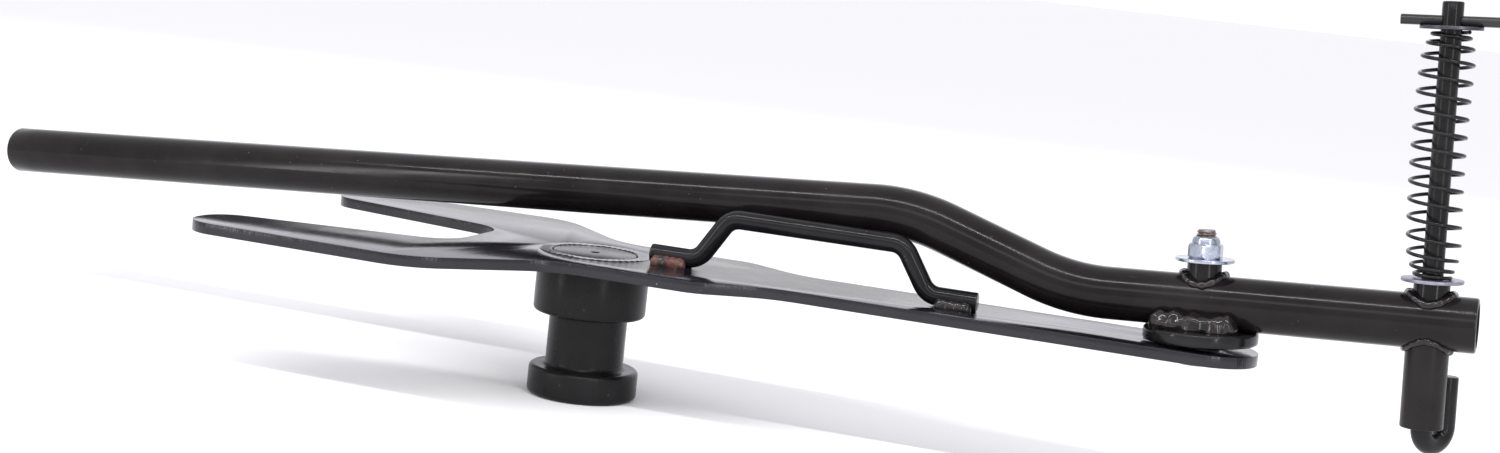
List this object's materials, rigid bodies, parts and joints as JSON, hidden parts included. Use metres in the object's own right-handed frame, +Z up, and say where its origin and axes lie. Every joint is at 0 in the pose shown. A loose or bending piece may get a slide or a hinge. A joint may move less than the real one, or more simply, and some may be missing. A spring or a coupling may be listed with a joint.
{
  "type": "fifth-wheel coupling lock tester",
  "caption": "Forked steel plate with a king pin and carry handle, a cranked tube pry lever on a pivot and a spring-loaded J-hook at its short end.",
  "frame": {"origin": "on the king pin's axis, at the fork plate's underside, where the pin's collar starts", "axes": "+Z up through the plate (the king pin points down), +X along the plate towards the lever's pivot and the hook, +Y to the side that the long arm lies over"},
  "size_m": [1.0365, 0.2566, 0.3125],
  "materials": {
    "plate_black": "gloss black paint",
    "pin_black": "satin black paint over turned steel",
    "handle_black": "gloss black paint",
    "lever_black": "satin black paint",
    "disc_black": "satin black paint",
    "bush_black": "gloss black paint",
    "sleeve_black": "satin black paint",
    "weld_black": "painted weld bead",
    "weld_brown": "heat-browned weld bead",
    "bolt_steel": "dark oiled steel",
    "zinc_nut": "bright zinc plating",
    "zinc_washer": "bright zinc plating",
    "spacer_steel": "plain steel",
    "washer_grey": "grey phosphate",
    "washer_dark": "dark phosphate",
    "nylon": "natural nylon",
    "spring_black": "black oiled spring wire",
    "rod_black": "satin black paint",
    "roll_pin_black": "black oxide spring steel"
  },
  "bodies": {
    "plate_assembly": {"fork_plate": "plate_black", "king_pin": "pin_black", "king_pin_weld": "weld_black", "carry_handle": "handle_black", "handle_weld_front": "weld_brown", "handle_weld_rear": "weld_black"},
    "swivel": {"pivot_spacer": "spacer_steel"},
    "lever": {"lever_tube": "lever_black", "pivot_disc": "disc_black", "pivot_disc_weld": "weld_black", "pivot_bush": "bush_black", "pivot_bush_weld": "weld_black", "pivot_bolt": "bolt_steel", "pivot_nut": "zinc_nut", "nut_insert": "nylon", "pivot_washer": "zinc_washer", "hook_bush": "bush_black", "hook_bush_weld": "weld_black", "hook_sleeve": "sleeve_black", "hook_sleeve_weld": "weld_black", "lower_washer": "washer_grey", "hook_spring": "spring_black"},
    "plunger": {"upper_washer": "washer_dark"},
    "hook": {"hook_rod": "rod_black", "roll_pin": "roll_pin_black"}
  },
  "joints": [
    {"name": "lever_swing", "type": "hinge", "parent": "plate_assembly", "child": "swivel", "pos_m": [0.3885, 0, 0.0035], "axis": [0, 0, 1], "range_deg": [-140, 1]},
    {"name": "lever_rock", "type": "hinge", "parent": "swivel", "child": "lever", "pos_m": [0.3885, 0, 0.0035], "axis": [0.0872, 0.9962, 0], "range_deg": [0, 8]},
    {"name": "hook_slide", "type": "slide", "parent": "lever", "child": "plunger", "axis": [0.0695, -0.0061, -0.9976], "range_m": [0, 0.033], "stiffness_N_per_m": 700, "springref_m": -0.02, "deforming": ["hook_spring"]},
    {"name": "hook_turn", "type": "hinge", "parent": "plunger", "child": "hook", "pos_m": [0.5151, -0.01108, 0.04263], "axis": [-0.0695, 0.0061, 0.9976], "continuous": true}
  ]
}
